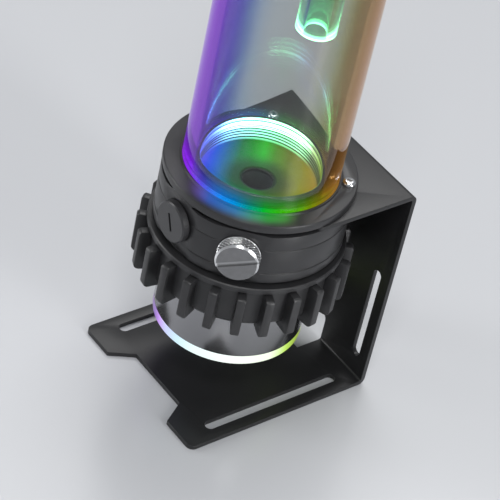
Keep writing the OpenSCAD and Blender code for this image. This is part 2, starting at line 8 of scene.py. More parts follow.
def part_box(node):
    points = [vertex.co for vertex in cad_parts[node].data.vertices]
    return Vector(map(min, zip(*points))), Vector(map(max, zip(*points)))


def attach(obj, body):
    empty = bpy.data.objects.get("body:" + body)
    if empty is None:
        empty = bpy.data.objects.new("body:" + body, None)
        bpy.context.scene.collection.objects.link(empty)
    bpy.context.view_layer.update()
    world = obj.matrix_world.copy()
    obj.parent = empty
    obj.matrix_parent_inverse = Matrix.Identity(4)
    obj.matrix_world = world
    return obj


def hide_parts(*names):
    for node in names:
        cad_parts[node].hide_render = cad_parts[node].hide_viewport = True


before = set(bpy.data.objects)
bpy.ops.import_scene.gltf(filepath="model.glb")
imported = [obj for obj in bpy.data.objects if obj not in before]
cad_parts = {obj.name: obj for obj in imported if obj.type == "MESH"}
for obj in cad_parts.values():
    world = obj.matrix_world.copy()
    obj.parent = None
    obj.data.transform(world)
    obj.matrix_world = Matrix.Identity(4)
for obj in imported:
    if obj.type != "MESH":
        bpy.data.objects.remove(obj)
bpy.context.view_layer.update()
MM = 0.001             # metres in a millimetre
PER_METRE = 1000.0     # millimetres in a metre

# ---------------------------------------------------------------- sizes, in millimetres

FLAT_R = 35.567        # pump top's flats round the ports
PORT_Z = 87.0
DECK = 102.8           # top of the flange, foot of the tube
TUBE_R, TUBE_IN = 30.0, 25.0
TUBE_TOP = 242.8
DROP_R, DROP_IN = 8.0, 4.5
DROP_FOOT = 162.0
BOWL_R, BOWL_OUT = 23.2, 24.0
BOWL_FOOT = 95.2
FLOOR = 96.8           # bowl's floor
INLET_R = 6.0          # hole in the bowl's floor
RIM_OUT = 24.7         # lit rim above the bowl
RIM_TOP = 107.6
CAP_TOP = 250.8
CAP_PORT = 12.0        # cap's two ports, from the axis

SCREW_RING = 33.65     # flange screws
SCREW_R, SCREW_HEAD_R, SCREW_HEAD = 1.5, 2.6, 1.7
SCREW_FOOT = 91.9
SCREW_KEY = 1.15

HEAD_R, SHANK_R = 8.25, 6.53
SHANK = 7.5
SEAL_GAP = 1.44        # groove under a plug's head
SEAL_R = 8.0
BLACK_TOP = 3.5        # black plugs' heads
COIN_SLOT = 7.3
LOW_TURN = math.radians(23)
KNURL_TOP = 6.3        # bright plug's head
KNURL_CHAMFER = 0.7
KNURL_TURN = math.radians(-68)
KNURL_TEETH, KNURL_RISE, KNURL_DEEP = 34, 1.5, 0.40

RING_BORE, THREAD_R = 30.2, 34.75
RING_BAND, RING_RIM = 37.3, 38.7
RING_FOOT, RING_SHELF, RING_TOP = 51.7, 55.2, 73.5
FINS = 24
FIN_R, FIN_TOP, FIN_T = 42.3, 70.2, 3.4
FIN_NOSE = 2.2         # rounded lower corner
FIN_TURN = 7           # first fin, in degrees

CAN_R, CAN_IN = 29.8, 28.0
CAN_FOOT = 26.6
BAND_TOP, BAND_IN = 30.7, 26.5
COLLAR_R, COLLAR_FOOT, CAN_TOP = 33.9, 55.8, 60.0
CUP_SEAT_R, CUP_SEAT = 27.1, 58.5
CUP_HOLE_R, CAN_ROOF = 21.7, 54.8

# ---------------------------------------------------------------- shader wiring


class Wire:
    """One shader output that Python arithmetic works on."""

    def __init__(self, finish, socket):
        self.finish, self.socket = finish, socket

    def math(self, operation, *others):
        sockets = dict(enumerate((self,) + others))
        return self.finish.node("Math", {"operation": operation}, sockets)

    def __add__(self, other):
        return self.math("ADD", other)

    def __sub__(self, other):
        return self.math("SUBTRACT", other)

    def __mul__(self, other):
        return self.math("MULTIPLY", other)

    def __truediv__(self, other):
        return self.math("DIVIDE", other)

    def __pow__(self, other):
        return self.math("POWER", other)

    def __neg__(self):
        return self.math("MULTIPLY", -1.0)

    def __rsub__(self, other):
        return (-self) + other

    __radd__ = __add__
    __rmul__ = __mul__

    def step(self, low, high):
        """0 below low, 1 above high, smooth between."""
        settings = {"interpolation_type": "SMOOTHSTEP"}
        return self.finish.node("MapRange", settings, {0: self, 1: low, 2: high})


class Finish:
    """A material under construction, with one Principled shader."""

    def __init__(self, name, **shader):
        self.material = bpy.data.materials.new(name)
        self.material.use_nodes = True
        self.tree = self.material.node_tree
        self.tree.nodes.clear()
        self.shader = self.tree.nodes.new("ShaderNodeBsdfPrincipled")
        output = self.tree.nodes.new("ShaderNodeOutputMaterial")
        self.tree.links.new(self.shader.outputs[0], output.inputs["Surface"])
        for key, value in shader.items():
            self.feed(key.replace("_", " ").title().replace("Ior", "IOR"), value)

    def plug(self, target, value):
        if isinstance(value, Wire):
            self.tree.links.new(value.socket, target)
        elif isinstance(value, (tuple, list)) and target.type == "RGBA":
            target.default_value = tuple(value)[:3] + (1.0,)
        else:
            target.default_value = value

    def feed(self, socket, value):
        self.plug(self.shader.inputs[socket], value)
        return self

    def node(self, kind, settings=None, sockets=None, out=0):
        made = self.tree.nodes.new("ShaderNode" + kind)
        for key, value in (settings or {}).items():
            if key == "stops":
                ramp = made.color_ramp
                while len(ramp.elements) < len(value):
                    ramp.elements.new(0.5)
                for stop, (place, colour) in zip(ramp.elements, value):
                    stop.position, stop.color = place, tuple(colour) + (1.0,)
            else:
                setattr(made, key, value)
        for key, value in (sockets or {}).items():
            self.plug(made.inputs[key], value)
        return Wire(self, made.outputs[out])

    def place(self, turn=(0, 0, 0), shift=(0, 0, 0)):
        """Object coordinates in metres, seen from a turned and shifted corner."""
        spot = self.node("TexCoord", out="Object")
        if any(turn) or any(shift):
            spot = self.node("Mapping", {"vector_type": "TEXTURE"},
                             {"Vector": spot, "Location": shift, "Rotation": turn})
        return spot

    def axes(self, spot):
        """X, Y and Z of a place, in millimetres."""
        parts = self.node("SeparateXYZ", None, {0: spot})
        outputs = parts.socket.node.outputs
        return [Wire(self, outputs[i]) * PER_METRE for i in range(3)]

    def noise(self, spot, grain, detail=2.0, roughness=0.5):
        """Even noise with a grain of that many millimetres."""
        return self.node("TexNoise", None, {"Vector": spot, "Scale": PER_METRE / grain,
                                            "Detail": detail, "Roughness": roughness})

    def blend(self, amount, first, second):
        return self.node("Mix", {"data_type": "RGBA"}, {0: amount, 6: first, 7: second}, out=2)

    def tint(self, colour, factor):
        """A colour scaled by a number."""
        return self.node("VectorMath", {"operation": "SCALE"}, {0: colour, "Scale": factor})

    def add(self, first, second):
        """Two colours of light together."""
        return self.node("VectorMath", {"operation": "ADD"}, {0: first, 1: second})

    def bump(self, height, depth, strength=1.0, onto=None):
        sockets = {"Height": height, "Distance": depth * MM, "Strength": strength}
        if onto is not None:
            sockets["Normal"] = onto
        return self.node("Bump", None, sockets)


# ---------------------------------------------------------------- finishes

RAINBOW = [
    (0.00, (0.45, 0.05, 0.95)), (0.10, (0.34, 0.05, 0.95)), (0.18, (0.17, 0.10, 0.88)),
    (0.24, (0.07, 0.18, 0.88)), (0.31, (0.01, 0.28, 1.00)), (0.40, (0.00, 0.31, 0.82)),
    (0.49, (0.00, 0.34, 0.30)), (0.58, (0.00, 0.50, 0.03)), (0.68, (0.04, 0.50, 0.00)),
    (0.78, (0.09, 0.44, 0.00)), (0.86, (0.25, 0.33, 0.00)), (1.00, (0.50, 0.23, 0.02)),
]
SPILL = [
    (0.00, (0.10, 0.03, 0.20)), (0.11, (0.10, 0.06, 0.34)), (0.22, (0.02, 0.09, 0.40)),
    (0.45, (0.00, 0.13, 0.32)), (0.60, (0.00, 0.21, 0.10)), (0.72, (0.00, 0.27, 0.01)),
    (0.86, (0.03, 0.22, 0.02)), (1.00, (0.03, 0.10, 0.02)),
]


def radius_of(x, y):
    """Distance from the axis."""
    return (x * x + y * y) ** 0.5


def along_light(x, y):
    """Distance on the line from the -X-Y side to the +X+Y side."""
    return (x + y) / 2 ** 0.5


def ramp(f, value, low, high, stops):
    """Colours laid out between two values."""
    return f.node("ValToRGB", {"stops": stops}, {0: (value - low) / (high - low)})


def rainbow(f, x, y, stops=RAINBOW):
    """The light ring's colours, which change from side to side."""
    return ramp(f, along_light(x, y), -TUBE_R, TUBE_R, stops)


def sheet_coat():
    """Black powder coat on the bracket."""
    f = Finish("sheet_coat")
    spot = f.place()
    peel = f.noise(spot, 0.9, 3.0)
    cloud = f.noise(spot, 22.0, 2.0)
    f.feed("Base Color", f.blend(cloud, (0.009, 0.009, 0.010), (0.015, 0.015, 0.016)))
    f.feed("Roughness", 0.34 + 0.12 * peel)
    f.feed("Normal", f.bump(peel, 0.03, 0.5))
    return f.material


def turned_acetal(name="turned_acetal", spill=False):
    """Machined black plastic with fine turning marks."""
    f = Finish(name)
    spot = f.place()
    x, y, z = f.axes(spot)
    radius = radius_of(x, y)
    marks = f.noise(f.node("CombineXYZ", None, {0: radius * MM, 2: z * MM}), 0.22, 1.0)
    cloud = f.noise(spot, 9.0)
    black = f.blend(cloud, (0.018, 0.018, 0.019), (0.028, 0.028, 0.030))
    f.feed("Base Color", black)
    f.feed("Roughness", 0.27 + 0.14 * marks + 0.06 * cloud)
    f.feed("Normal", f.bump(marks, 0.012, 0.6))
    if spill:
        # light from the foot of the tube that lies on the front of the flange
        across = along_light(x, y)
        front = (x - y) / (2 ** 0.5 * (radius + 0.001))
        fade = (1.0 - radius.step(32.0, 37.0)) * (1.0 - across.step(12.0, 20.0))
        fade = fade * across.step(-26.0, -16.0)
        reach = front.step(0.1, 0.6) * fade * z.step(DECK - 1.2, DECK)
        f.feed("Emission Color", f.tint(ramp(f, across, -25.0, 20.0, SPILL), reach))
        f.feed("Emission Strength", 1.0)
        f.feed("Base Color", f.blend(reach, black, (0.004, 0.006, 0.008)))
    return f.material


def filled_nylon():
    """Moulded nylon with glass fibre: a slightly mottled, dry surface."""
    f = Finish("filled_nylon")
    spot = f.place()
    fibre = f.noise(f.place(turn=(0.4, 0.2, 0.0)), 0.5, 4.0, 0.65)
    cloud = f.noise(spot, 6.0, 3.0)
    f.feed("Base Color", f.blend(cloud, (0.018, 0.018, 0.019), (0.034, 0.034, 0.036)))
    f.feed("Roughness", 0.30 + 0.14 * cloud + 0.10 * fibre)
    f.feed("Normal", f.bump(fibre, 0.035, 0.6))
    return f.material


def satin_can():
    """Dark satin metal of the motor can."""
    f = Finish("satin_can", metallic=1.0)
    fine = f.noise(f.place(), 0.35, 2.0)
    f.feed("Base Color", f.blend(fine, (0.33, 0.33, 0.34), (0.39, 0.39, 0.40)))
    f.feed("Roughness", 0.17 + 0.08 * fine)
    f.feed("Normal", f.bump(fine, 0.006, 0.4))
    return f.material


def seal_rubber():
    """Matt black rubber."""
    f = Finish("seal_rubber")
    fine = f.noise(f.place(), 0.3, 3.0)
    f.feed("Base Color", f.blend(fine, (0.010, 0.010, 0.010), (0.020, 0.020, 0.020)))
    f.feed("Roughness", 0.52 + 0.14 * fine)
    f.feed("Normal", f.bump(fine, 0.02, 0.5))
    return f.material


def bright_nickel(name, turn, shift):
    """Plated screw: a rougher turned face and the slot, painted much darker than the bright
    chamfer as painted shade, and a knurl with painted shade in its valleys.
    """
    f = Finish(name, metallic=1.0)
    x, y, z = f.axes(f.place(turn, shift))
    radius = radius_of(x, y)
    marks = f.noise(f.node("CombineXYZ", None, {0: radius * MM}), 0.12, 1.0)
    smear = f.noise(f.place(), 2.5, 3.0)
    edge, top = HEAD_R - KNURL_CHAMFER, KNURL_TOP
    # painted shade: the face and the slot get a much darker tone than the chamfer
    slot_and_face = 0.7 * z.step(top - 0.95, top - 0.85) + 0.3 * z.step(top - 0.2, top - 0.1)
    face = slot_and_face * (1.0 - radius.step(edge - 0.05, edge + 0.03))
    # painted shade in the knurl's valleys
    valley_shade = 1.0 - radius.step(HEAD_R - 0.35, HEAD_R - 0.03)
    valley_shade = valley_shade * radius.step(edge + 0.05, edge + 0.15)
    valley_shade = valley_shade * z.step(0.85, 0.95) * (1.0 - z.step(top - 0.95, top - 0.9))
    bright = f.blend(smear, (0.72, 0.73, 0.74), (0.86, 0.865, 0.87))
    shaded_tone = f.blend(smear, (0.22, 0.22, 0.225), (0.29, 0.29, 0.295))
    f.feed("Base Color", f.tint(f.blend(face, bright, shaded_tone), 1.0 - 0.96 * valley_shade))
    f.feed("Roughness", 0.16 + 0.20 * face + 0.08 * smear + 0.08 * marks)
    f.feed("Normal", f.bump(marks, 0.006, 0.5))
    return f.material


# grey tint in the middle, with painted light: the light ring's colours tint it towards the left
# and right sides
ACRYLIC_TINT_AND_LIGHT = [
    (0.00, (0.18, 0.02, 0.38)), (0.06, (0.20, 0.03, 0.46)), (0.12, (0.26, 0.20, 0.66)),
    (0.18, (0.28, 0.35, 0.70)), (0.26, (0.58, 0.67, 0.78)), (0.36, (0.69, 0.73, 0.75)),
    (0.68, (0.70, 0.71, 0.68)), (0.82, (0.62, 0.65, 0.50)), (0.89, (0.50, 0.42, 0.22)),
    (0.94, (0.28, 0.19, 0.05)), (1.00, (0.26, 0.12, 0.06)),
]


def lit_acrylic(name):
    """Clear acrylic with the light ring's colours painted in: a grey tint in the middle, painted
    light tinting it towards its left and right sides, a painted glow at its foot and painted
    light along its two edges.
    """
    f = Finish(name, ior=1.43, transmission_weight=1.0)
    spot = f.place()
    x, y, z = f.axes(spot)
    f.feed("Base Color", rainbow(f, x, y, ACRYLIC_TINT_AND_LIGHT))
    # painted light: a glow in the light ring's colours at the tube's foot, and along its left and
    # right edges
    foot = 1.0 - z.step(DECK - 1.0, DECK + 11.0)
    across = along_light(x, y) / TUBE_R
    glow = f.tint(rainbow(f, x, y), foot * foot * 0.34)
    left = f.tint((0.34, 0.01, 1.0), (1.0 - across.step(-0.98, -0.66)) * 0.13)
    right = f.tint((1.0, 0.42, 0.03), across.step(0.80, 0.97) * 0.07)
    f.feed("Emission Color", f.add(glow, f.add(left, right)))
    f.feed("Emission Strength", 1.0)
    f.feed("Roughness", f.noise(spot, 3.0, 2.0) * 0.008)
    return f.material


def drop_acrylic():
    """Inner tube: greenish, greener towards its foot, with painted light glowing at its cut end
    and a faint painted glow fading up from it.
    """
    f = Finish("drop_acrylic", ior=1.49, transmission_weight=1.0)
    spot = f.place()
    z = f.axes(spot)[2]
    height = z.step(DROP_FOOT, DROP_FOOT + 53.0)
    f.feed("Base Color", f.blend(height, (0.48, 0.80, 0.58), (0.68, 0.82, 0.73)))
    # painted light: the cut end glows, and a faint painted glow fades up from it
    end = 1.0 - z.step(DROP_FOOT + 0.3, DROP_FOOT + 1.6)
    glow_fade = 1.0 - z.step(DROP_FOOT, DROP_FOOT + 24.0)
    f.feed("Emission Color", f.tint((0.30, 1.0, 0.55), end * 3.6 + glow_fade * 0.06))
    f.feed("Emission Strength", 1.0)
    f.feed("Roughness", f.noise(spot, 2.0, 2.0) * 0.03)
    return f.material


INNER_LIGHT = [
    (0.00, (0.05, 0.07, 0.18)), (0.07, (0.12, 0.20, 0.50)), (0.16, (0.28, 0.70, 1.00)),
    (0.38, (0.26, 1.00, 0.62)), (0.60, (0.24, 1.00, 0.42)), (0.80, (0.28, 0.85, 0.40)),
    (0.91, (0.09, 0.13, 0.07)), (1.00, (0.03, 0.06, 0.005)),
]
# painted light on the bowl's floor, in the light ring's colours from side to side
BOWL_FLOOR_LIGHT = [
    (0.00, (0.06, 0.06, 0.55)), (0.09, (0.00, 0.06, 0.40)), (0.19, (0.00, 0.07, 0.17)),
    (0.30, (0.00, 0.09, 0.02)), (0.40, (0.00, 0.15, 0.00)), (0.50, (0.01, 0.26, 0.005)),
    (0.60, (0.04, 0.13, 0.00)), (0.72, (0.07, 0.09, 0.00)), (0.84, (0.13, 0.13, 0.00)),
    (1.00, (0.25, 0.16, 0.00)),
]


def floor_glow():
    """Frosted bowl lit from its rim, all in painted light: coloured light on the floor, painted
    shade towards the inlet, and bright rings of painted light up the wall.
    """
    f = Finish("floor_glow", specular_ior_level=0.12)
    spot = f.place()
    x, y, z = f.axes(spot)
    radius, across = radius_of(x, y), along_light(x, y)
    swirl = f.noise(spot, 7.0, 3.0)
    wisp = f.noise(spot, 2.2, 4.0, 0.6)
    wall = z.step(FLOOR + 0.1, FLOOR + 2.4) * radius.step(BOWL_R - 3.2, BOWL_R - 0.2)
    ring_gap = 1.3
    rings = (z * (2 * math.pi / ring_gap)).math("SINE").step(-0.35, 0.25)
    lip_in, lip_out = INLET_R + 0.9, INLET_R + 1.5
    # painted shade towards the inlet, and a thin line of painted light on its lip
    shade = (0.25 + 0.75 * radius.step(lip_out, 16.0)) * (0.7 + 0.35 * swirl + 0.3 * wisp)
    lip = radius.step(lip_in - 0.4, lip_in) * (1.0 - radius.step(lip_out - 0.4, lip_out)) * 0.25
    on_floor = radius.step(lip_in, lip_out) * (1.0 - wall)
    f.feed("Base Color", f.blend(swirl, (0.002, 0.003, 0.003), (0.004, 0.006, 0.005)))
    bright = f.tint(ramp(f, across, -BOWL_R, BOWL_R, INNER_LIGHT), wall * (0.10 + 3.4 * rings))
    low_light = f.tint(ramp(f, across, -BOWL_R, BOWL_R, BOWL_FLOOR_LIGHT), shade * on_floor * 2.3 + lip)
    f.feed("Emission Color", f.add(bright, low_light))
    f.feed("Emission Strength", 1.0)
    f.feed("Roughness", 0.38 + 0.14 * swirl)
    f.feed("Normal", f.bump(swirl, 0.05, 0.4))
    return f.material


RIM_LINES = [(106.9, 0.22), (106.0, 0.26), (104.0, 0.30), (103.3, 0.26)]   # height and width


def rim_glow():
    """Rim ring: only its inner wall shines, the rest is dark clear plastic."""
    f = Finish("rim_glow", coat_weight=0.3)
    spot = f.place()
    x, y, z = f.axes(spot)
    inner = 1.0 - radius_of(x, y).step(BOWL_R + 0.02, BOWL_R + 0.12)
    lines = 1.0
    for height, width in RIM_LINES:
        beside = (z - height).math("ABSOLUTE").step(width * 0.5, width)
        lines = (1.0 - (1.0 - beside) * 0.95) * lines
    grain = f.noise(spot, 1.6, 3.0)
    f.feed("Base Color", f.blend(grain, (0.02, 0.03, 0.03), (0.04, 0.06, 0.05)))
    shine = inner * lines * (11.0 + 2.0 * grain) + 0.05
    colour = ramp(f, along_light(x, y), -BOWL_R, BOWL_R, INNER_LIGHT)
    f.feed("Emission Color", f.tint(colour, shine))
    f.feed("Emission Strength", 1.0)
    f.feed("Roughness", 0.15 + 0.1 * grain)
    return f.material


BAND_LIGHT = [
    (0.00, (0.12, 0.05, 0.20)), (0.04, (0.24, 0.13, 0.46)), (0.08, (0.54, 0.30, 0.84)),
    (0.14, (0.56, 0.60, 0.90)), (0.23, (0.62, 0.86, 0.96)), (0.35, (0.82, 0.98, 0.98)),
    (0.62, (0.93, 0.99, 0.93)), (0.84, (0.86, 0.96, 0.76)), (0.93, (0.50, 0.76, 0.11)),
    (1.00, (0.24, 0.32, 0.05)),
]


def band_glow():
    """Diffuser of the lower light: white in front, coloured at its sides."""
    f = Finish("band_glow")
    spot = f.place()
    x, y = f.axes(spot)[:2]
    colour = ramp(f, along_light(x, y), -CAN_R, CAN_R, BAND_LIGHT)
    grain = f.noise(spot, 1.5, 2.0)
    f.feed("Base Color", f.tint(colour, 0.34 + 0.06 * grain))
    f.feed("Emission Color", f.tint(colour, 0.82))
    f.feed("Emission Strength", 1.0)
    f.feed("Roughness", 0.25 + 0.1 * grain)
    return f.material


def guide_glow():
    """Light guide under the tube: frosted, in the ring's colours."""
    f = Finish("guide_glow")
    spot = f.place()
    x, y = f.axes(spot)[:2]
    grain = f.noise(spot, 1.5, 2.0)
    f.feed("Base Color", f.blend(grain, (0.10, 0.12, 0.12), (0.16, 0.18, 0.18)))
    f.feed("Emission Color", f.tint(rainbow(f, x, y), 0.30 + 0.12 * grain))
    f.feed("Emission Strength", 1.0)
    f.feed("Roughness", 0.25 + 0.1 * grain)
    return f.material


def plain(name, dark, light, grain, rough, metallic=0.0, depth=0.01):
    """Small inner parts: two close tones, fine grain, slight relief."""
    f = Finish(name, metallic=metallic)
    fine = f.noise(f.place(), grain, 3.0)
    f.feed("Base Color", f.blend(fine, dark, light))
    f.feed("Roughness", rough - 0.05 + 0.1 * fine)
    f.feed("Normal", f.bump(fine, depth, 0.5))
    return f.material


def laminate():
    """Circuit board: green mask over tracks."""
    f = Finish("laminate")
    spot = f.place()
    tracks = f.node("TexBrick", None, {"Vector": spot, "Scale": 260.0, "Mortar Size": 0.06,
                                       "Color1": (0, 0, 0), "Color2": (0.1, 0.1, 0.1),
                                       "Mortar": (1, 1, 1)})
    f.feed("Base Color", f.blend(tracks, (0.005, 0.045, 0.022), (0.02, 0.11, 0.055)))
    f.feed("Roughness", 0.28 + 0.1 * f.noise(spot, 2.0))
    return f.material


def winding():
    """Enamelled copper wire laid in close turns."""
    f = Finish("winding", metallic=0.9)
    wire = 0.8
    z = f.axes(f.place())[2]
    turns = (z * 2 * math.pi / wire).math("SINE") * 0.5 + 0.5
    f.feed("Base Color", f.blend(turns, (0.32, 0.10, 0.03), (0.72, 0.32, 0.12)))
    f.feed("Roughness", 0.42 - 0.15 * turns)
    f.feed("Normal", f.bump(turns, 0.15, 0.8))
    return f.material


# ---------------------------------------------------------------- making pieces


def turned(profile, steps=144):
    """A closed outline of (radius, height) in millimetres, spun round Z."""
    bm = bmesh.new()
    points = [bm.verts.new((r * MM, 0, z * MM)) for r, z in profile]
    edges = [bm.edges.new((points[i - 1], points[i])) for i in range(len(points))]
    bmesh.ops.spin(bm, geom=points + edges, cent=(0, 0, 0), axis=(0, 0, 1),
                   angle=2 * math.pi, steps=steps, use_merge=True)
    bmesh.ops.remove_doubles(bm, verts=bm.verts, dist=1e-6)
    bmesh.ops.recalc_face_normals(bm, faces=bm.faces)
    return bm


def arc(cr, cz, radius, start, end, count):
    """Points of an arc in an outline; angles in degrees from the outward direction."""
    angles = [math.radians(start + (end - start) * i / count) for i in range(count + 1)]
    return [(cr + radius * math.cos(a), cz + radius * math.sin(a)) for a in angles]


def soften(bm, width, segments=2, angle=32):
    """Rounds every edge that turns by more than an angle."""
    sharp = [e for e in bm.edges if len(e.link_faces) == 2
             and e.calc_face_angle(0) > math.radians(angle)]
    bmesh.ops.bevel(bm, geom=sharp, offset=width * MM, segments=segments, affect="EDGES",
                    profile=0.5, material=-1, clamp_overlap=True)


def finish_piece(bm, name, body, nodes, material, angle=35):
    """A mesh under construction becomes a piece on its body, in place of its nodes."""
    bmesh.ops.recalc_face_normals(bm, faces=bm.faces)
    mesh = bpy.data.meshes.new(name)
    bm.to_mesh(mesh)
    bm.free()
    mesh.shade_smooth()
    mesh.set_sharp_from_angle(angle=math.radians(angle))
    mesh.materials.append(material)
    piece = bpy.data.objects.new(name, mesh)
    bpy.context.scene.collection.objects.link(piece)
    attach(piece, body)
    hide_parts(*nodes)
    return piece


def from_node(node):
    """A merged copy of a CAD node, its flat faces whole again."""
    bm = bmesh.new()
    bm.from_mesh(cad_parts[node].data)
    bmesh.ops.remove_doubles(bm, verts=bm.verts, dist=2e-6)
    bmesh.ops.dissolve_limit(bm, angle_limit=math.radians(0.6), verts=bm.verts, edges=bm.edges,
                             use_dissolve_boundaries=False)
    return bm


def dressed(node, body, material, width=0.25, segments=2, angle=32):
    """A CAD node with its edges rounded."""
    bm = from_node(node)
    soften(bm, width, segments, angle)
    return finish_piece(bm, node + "_dressed", body, [node], material)


def cut_out(bm, cutters):
    """Takes closed shapes away from a closed shape."""
    meshes = []
    for shape in (bm, cutters):
        mesh = bpy.data.meshes.new("blank")
        shape.to_mesh(mesh)
        shape.free()
        meshes.append(bpy.data.objects.new("blank", mesh))
        bpy.context.scene.collection.objects.link(meshes[-1])
    work, tool = meshes
    modifier = work.modifiers.new("cut", "BOOLEAN")
    modifier.operation, modifier.solver, modifier.object = "DIFFERENCE", "EXACT", tool
    bpy.context.view_layer.update()
    result = bmesh.new()
    result.from_mesh(work.evaluated_get(bpy.context.evaluated_depsgraph_get()).to_mesh())
    for leftover in meshes:
        mesh = leftover.data
        bpy.data.objects.remove(leftover)
        bpy.data.meshes.remove(mesh)
    return result


def slot_blank(size, centre, turn):
    """A block for a slot, turned about Z."""
    bm = bmesh.new()
    bmesh.ops.create_cube(bm, size=1.0)
    bmesh.ops.scale(bm, vec=Vector(size) * MM, verts=bm.verts)
    bmesh.ops.transform(bm, matrix=Matrix.Rotation(turn, 4, "Z"), verts=bm.verts)
    bmesh.ops.translate(bm, vec=Vector(centre) * MM, verts=bm.verts)
    return bm


def key_blank(radius, depth, middle):
    """A hexagon for a key's hole on the axis, at a height."""
    bm = bmesh.new()
    bmesh.ops.create_cone(bm, cap_ends=True, cap_tris=False, segments=6, radius1=radius * MM,
                          radius2=radius * MM, depth=depth * MM)
    bmesh.ops.translate(bm, vec=(0, 0, middle * MM), verts=bm.verts)
    return bm


def merged(*shapes):
    """Several meshes as one."""
    whole = bmesh.new()
    for shape in shapes:
        mesh = bpy.data.meshes.new("part")
        shape.to_mesh(mesh)
        shape.free()
        whole.from_mesh(mesh)
        bpy.data.meshes.remove(mesh)
    return whole


def port_frame(azimuth):
    """Turns +Z outwards from the flat in that direction."""
    a = math.radians(azimuth)
    place = Vector((FLAT_R * math.cos(a), FLAT_R * math.sin(a), PORT_Z)) * MM
    outwards = Matrix.Rotation(a, 4, "Z") @ Matrix.Rotation(math.pi / 2, 4, "Y")
    return Matrix.Translation(place) @ outwards


# ---------------------------------------------------------------- bracket

dressed("bracket", "base", sheet_coat(), 0.4, 3)

# ---------------------------------------------------------------- pump top and flange

acetal = turned_acetal()
flange_acetal = turned_acetal("lit_acetal", spill=True)
dressed("pump_top", "base", acetal, 0.22, 2, 28)
dressed("flange", "base", flange_acetal, 0.2, 2)
dressed("top_cap", "base", acetal, 0.3, 2, 28)

# ---------------------------------------------------------------- tube, drop tube, light parts

edge, inner_edge = 0.5, 0.6
outline = [(TUBE_IN, DECK + inner_edge), (TUBE_IN + inner_edge, DECK), (TUBE_R - edge, DECK),
           (TUBE_R, DECK + edge), (TUBE_R, TUBE_TOP - edge), (TUBE_R - edge, TUBE_TOP),
           (TUBE_IN + inner_edge, TUBE_TOP), (TUBE_IN, TUBE_TOP - inner_edge)]
finish_piece(turned(outline, 192), "clear_tube", "base", ["tube"],
             lit_acrylic("tube_acrylic"))

drop_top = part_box("drop_tube")[1][2] / MM
edge, inner_edge = 0.7, 0.5
outline = [(DROP_IN, DROP_FOOT + inner_edge), (DROP_IN + inner_edge, DROP_FOOT),
           (DROP_R - edge, DROP_FOOT), (DROP_R, DROP_FOOT + edge), (DROP_R, drop_top),
           (DROP_IN, drop_top)]
bm = turned(outline, 96)
bmesh.ops.translate(bm, vec=(0, CAP_PORT * MM, 0), verts=bm.verts)
finish_piece(bm, "inner_drop_tube", "base", ["drop_tube"],
             drop_acrylic())

# lit rim: plain band with two rings, stepped below for the seal
step_in, step_up, rim_edge = 0.5, 1.3, 0.4
outline = [(BOWL_R, DECK), (BOWL_R + step_in, DECK), (BOWL_R + step_in, DECK + step_up),
           (RIM_OUT, DECK + step_up)]
outline += arc(RIM_OUT - rim_edge, RIM_TOP - rim_edge, rim_edge, 0, 90, 4)
outline += arc(BOWL_R + rim_edge, RIM_TOP - rim_edge, rim_edge, 90, 180, 4)
outline += [(BOWL_R, 106.5), (BOWL_R + 0.2, 106.3), (BOWL_R, 106.1)]
finish_piece(turned(outline), "rim_light_ring", "base", ["rim_light"],
             rim_glow())

# bowl with its rings, fillet and stepped inlet
fillet = 2.0
outline = [(INLET_R, BOWL_FOOT), (BOWL_OUT, BOWL_FOOT), (BOWL_OUT, DECK), (BOWL_R, DECK)]
for upper, lower in ((102.1, 101.7), (100.5, 100.1), (99.4, 99.1)):
    outline += [(BOWL_R, upper), (BOWL_R + 0.3, (upper + lower) / 2), (BOWL_R, lower)]
outline += arc(BOWL_R - fillet, FLOOR + fillet, fillet, 0, -90, 8)
outline += [(INLET_R + 1.3, FLOOR), (INLET_R + 0.8, FLOOR - 0.5), (INLET_R, FLOOR - 0.6)]
finish_piece(turned(outline), "floor_bowl_lined", "base", ["floor_bowl"],
             floor_glow())

# ---------------------------------------------------------------- union ring

outline = [(THREAD_R, RING_SHELF), (THREAD_R, RING_TOP - 0.5), (THREAD_R + 0.5, RING_TOP),
           (RING_RIM - 0.4, RING_TOP), (RING_RIM, RING_TOP - 0.4), (RING_RIM, RING_TOP - 2.2),
           (RING_RIM - 0.3, RING_TOP - 2.5), (RING_BAND, RING_TOP - 2.9),
           (RING_BAND, RING_SHELF + 0.8), (RING_BAND - 0.3, RING_SHELF + 0.1),
           (33.7, RING_FOOT + 0.2), (33.3, RING_FOOT), (RING_BORE, RING_FOOT),
           (RING_BORE, RING_SHELF)]
ring_parts = [turned(outline, 192)]
for i in range(FINS):
    bm = bmesh.new()
    side = [(33.6, RING_FOOT)]
    side += arc(FIN_R - FIN_NOSE, RING_FOOT + FIN_NOSE, FIN_NOSE, -90, 0, 6)
    side += [(FIN_R, FIN_TOP - 0.8), (FIN_R - 0.8, FIN_TOP), (36.4, FIN_TOP), (36.4, 55.6)]
    face = bm.faces.new([bm.verts.new((r * MM, -FIN_T / 2 * MM, z * MM)) for r, z in side])
    pulled = bmesh.ops.extrude_face_region(bm, geom=[face])
    tips = [g for g in pulled["geom"] if isinstance(g, bmesh.types.BMVert)]
    bmesh.ops.translate(bm, vec=(0, FIN_T * MM, 0), verts=tips)
    bmesh.ops.recalc_face_normals(bm, faces=bm.faces)
    soften(bm, 0.42, 2, 40)
    turn = Matrix.Rotation(math.radians(FIN_TURN + 360 / FINS * i), 3, "Z")
    bmesh.ops.rotate(bm, cent=(0, 0, 0), matrix=turn, verts=bm.verts)
    ring_parts.append(bm)
finish_piece(merged(*ring_parts), "finned_union_ring", "clamp_ring",
             ["union_ring"], filled_nylon())

# ---------------------------------------------------------------- motor can and its band

